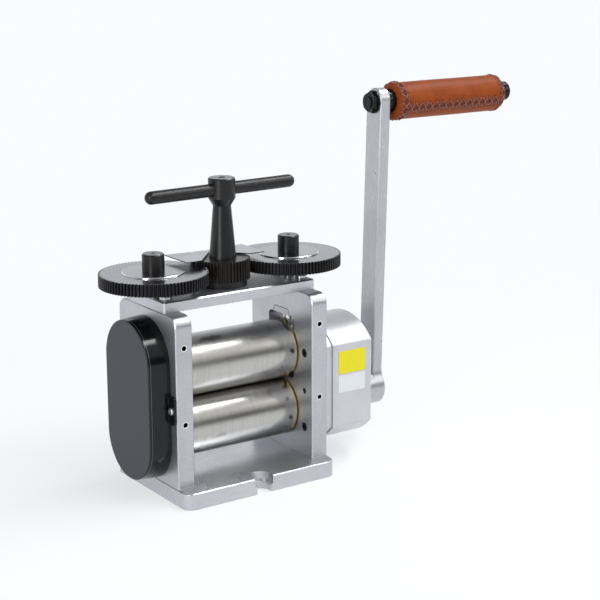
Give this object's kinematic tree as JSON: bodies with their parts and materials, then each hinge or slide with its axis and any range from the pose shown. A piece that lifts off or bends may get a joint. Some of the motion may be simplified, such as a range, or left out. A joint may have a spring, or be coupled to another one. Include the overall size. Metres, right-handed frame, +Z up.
{
  "type": "jewellers rolling mill",
  "caption": "Bench rolling mill with polished rollers, a geared crank with a leather grip, and a T-handle that lifts the upper roller through screw gears.",
  "frame": {"origin": "on the bench surface, under the middle of the rollers", "axes": "+X along the rollers towards the crank, +Y from the user towards the back, +Z up"},
  "size_m": [0.3986, 0.117, 0.3154],
  "materials": {
    "machined_steel": "ground and satin",
    "block_steel": "ground",
    "roller_steel": "polished",
    "black_steel": "black oxide",
    "dial_steel": "polished, plain ring marks",
    "screw_steel": "ground",
    "fastener_steel": "plain",
    "gear_steel": "cut, oiled",
    "spring_steel": "drawn wire",
    "bronze": "bored",
    "black_plastic": "satin face, glossy rim",
    "cast_aluminium": "fine cast, silver",
    "crank_metal": "cast and dressed, satin",
    "yellow_film": "blank label",
    "pale_film": "blank label",
    "grip_wood": "turned",
    "tan_leather": "smooth, cross-stitched"
  },
  "bodies": {
    "frame": {"base_plate": "machined_steel", "column_base_screws": "fastener_steel", "left_column": "machined_steel", "right_column": "machined_steel", "screw_nuts": "block_steel", "lower_roller_bushes": "bronze", "return_springs": "spring_steel", "top_plate": "machined_steel", "top_plate_screws": "fastener_steel", "spindle_bush": "black_steel", "index_plate": "machined_steel", "index_posts": "block_steel", "gear_cover": "black_plastic", "gear_cover_screws": "fastener_steel", "gearbox_back_plate": "machined_steel", "gearbox_housing": "cast_aluminium", "gearbox_screws": "fastener_steel", "gearbox_dowels": "fastener_steel", "layshaft_bushes": "bronze", "crank_bush": "bronze", "yellow_label": "yellow_film", "pale_label": "pale_film"},
    "lower_roller": {"lower_roller": "roller_steel", "lower_sync_gear": "gear_steel", "roller_wheel": "gear_steel", "lower_roller_keys": "fastener_steel", "lower_roller_circlips": "fastener_steel"},
    "carriage": {"left_bearing_block": "block_steel", "right_bearing_block": "block_steel", "upper_roller_bushes": "bronze", "thrust_buttons": "screw_steel"},
    "upper_roller": {"upper_roller": "roller_steel", "upper_sync_gear": "gear_steel", "upper_roller_key": "fastener_steel", "upper_roller_circlip": "fastener_steel"},
    "adjusting_handle": {"spindle": "black_steel", "adjusting_pinion": "black_steel", "t_bar": "black_steel", "t_bar_set_screw": "fastener_steel", "spindle_circlip": "fastener_steel"},
    "layshaft": {"layshaft": "screw_steel", "layshaft_wheel": "gear_steel"},
    "crank": {"crank_shaft": "screw_steel", "crank_arm": "crank_metal", "crank_washer": "fastener_steel", "crank_retaining_screw": "fastener_steel", "handle_bolt": "black_steel", "handle_nut": "black_steel", "handle_washer": "black_steel", "handle_collar": "black_steel"},
    "grip": {"grip_core": "grip_wood", "leather_sleeve": "tan_leather"},
    "left_screw": {"left_pressure_screw": "screw_steel", "left_screw_gear": "black_steel", "left_dial": "dial_steel", "left_screw_post": "black_steel"},
    "right_screw": {"right_pressure_screw": "screw_steel", "right_screw_gear": "black_steel", "right_dial": "dial_steel", "right_screw_post": "black_steel"}
  },
  "joints": [
    {"name": "crank_turn", "type": "hinge", "parent": "frame", "child": "crank", "pos_m": [0.13, 0, 0.04955], "axis": [1, 0, 0], "continuous": true},
    {"name": "grip_turn", "type": "hinge", "parent": "crank", "child": "grip", "pos_m": [0.22, -0.00874, 0.2998], "axis": [1, 0, 0], "continuous": true},
    {"name": "layshaft_turn", "type": "hinge", "parent": "frame", "child": "layshaft", "pos_m": [0.1, 0, 0.08955], "axis": [1, 0, 0], "continuous": true},
    {"name": "lower_roller_turn", "type": "hinge", "parent": "frame", "child": "lower_roller", "pos_m": [0, 0, 0.04955], "axis": [1, 0, 0], "continuous": true},
    {"name": "upper_roller_turn", "type": "hinge", "parent": "carriage", "child": "upper_roller", "pos_m": [0, 0, 0.09955], "axis": [1, 0, 0], "continuous": true},
    {"name": "adjusting_handle_turn", "type": "hinge", "parent": "frame", "child": "adjusting_handle", "pos_m": [0, 0, 0.175], "axis": [0, 0, -1], "range_deg": [0, 1800.2]},
    {"name": "roller_opening", "type": "slide", "parent": "frame", "child": "carriage", "axis": [0, 0, 1], "range_m": [0, 0.00375], "deforming": ["return_springs"]},
    {"name": "left_screw_turn", "type": "hinge", "parent": "carriage", "child": "left_screw", "pos_m": [-0.064, 0, 0.175], "axis": [0, 0, 1], "range_deg": [0, 900.1]},
    {"name": "right_screw_turn", "type": "hinge", "parent": "carriage", "child": "right_screw", "pos_m": [0.064, 0, 0.175], "axis": [0, 0, 1], "range_deg": [0, 900.1]}
  ],
  "couplings": [
    {"joint": "layshaft_turn", "follows": "crank_turn", "ratio": -0.66667},
    {"joint": "lower_roller_turn", "follows": "crank_turn", "ratio": 0.4},
    {"joint": "upper_roller_turn", "follows": "crank_turn", "ratio": -0.4},
    {"joint": "adjusting_handle_turn", "follows": "roller_opening", "rad_per_m": 8377.6},
    {"joint": "left_screw_turn", "follows": "roller_opening", "rad_per_m": 4188.8},
    {"joint": "right_screw_turn", "follows": "roller_opening", "rad_per_m": 4188.8}
  ]
}
